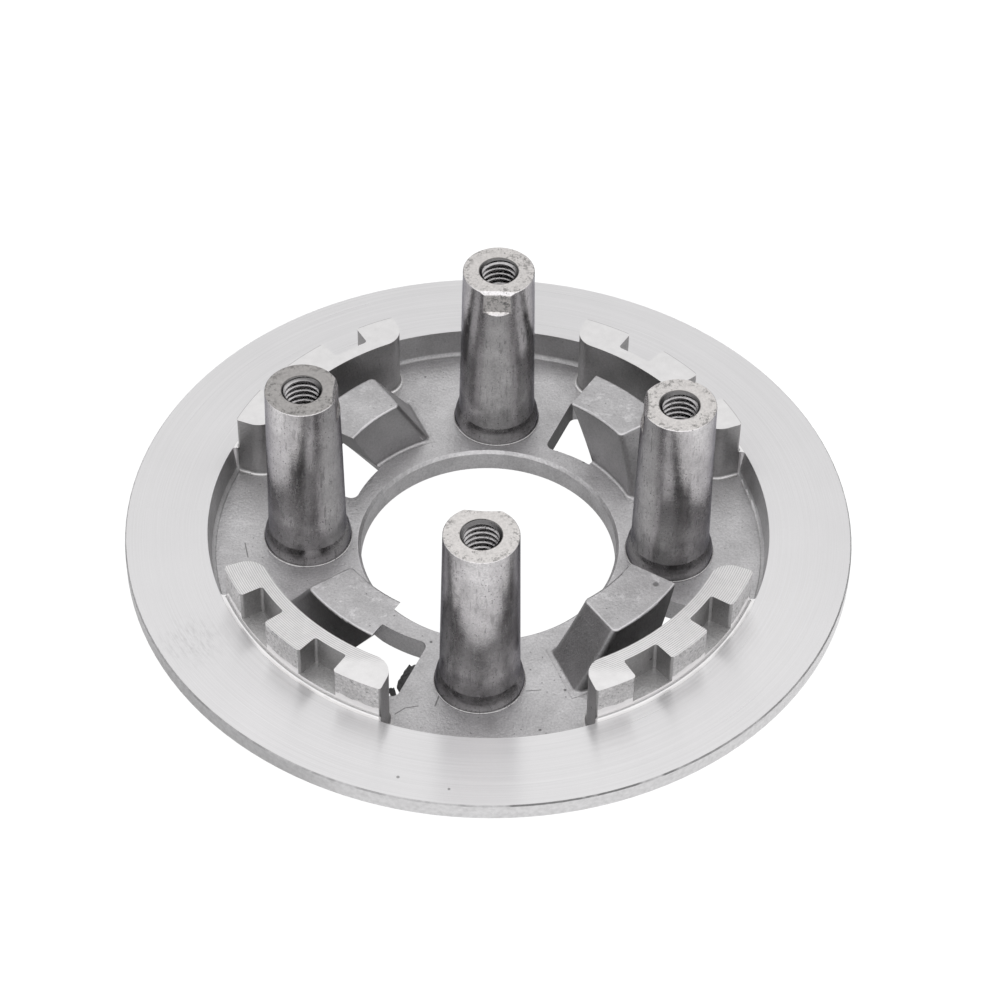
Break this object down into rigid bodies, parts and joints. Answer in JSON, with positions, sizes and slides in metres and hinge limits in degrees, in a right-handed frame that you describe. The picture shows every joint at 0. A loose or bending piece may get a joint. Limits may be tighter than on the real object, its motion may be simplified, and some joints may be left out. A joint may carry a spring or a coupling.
{
  "type": "clutch pressure plate",
  "caption": "rear pressure plate of a small wet multi-plate clutch, with tapped spring posts, slanted slipper ramps and notched spline segments inside a flat friction flange",
  "frame": {"origin": "centre of the bore, on the flat underside of the web", "axes": "+Z along the clutch axis, out of the friction face towards the tops of the posts; +X and +Y each point at a spring post"},
  "size_m": [0.11, 0.11, 0.0348],
  "materials": {
    "cast_aluminium": "satin"
  },
  "bodies": {
    "root": {"friction_flange": "cast_aluminium", "bore_ring": "cast_aluminium", "web_arm_front": "cast_aluminium", "web_arm_right": "cast_aluminium", "web_arm_back": "cast_aluminium", "web_arm_left": "cast_aluminium", "spring_post_front": "cast_aluminium", "spring_post_right": "cast_aluminium", "spring_post_back": "cast_aluminium", "spring_post_left": "cast_aluminium", "ramp_cam_front_left": "cast_aluminium", "ramp_cam_front_right": "cast_aluminium", "ramp_cam_back_right": "cast_aluminium", "ramp_cam_back_left": "cast_aluminium", "spline_segment_front_left": "cast_aluminium", "spline_segment_front_right": "cast_aluminium", "spline_segment_back_right": "cast_aluminium", "spline_segment_back_left": "cast_aluminium"}
  },
  "joints": []
}
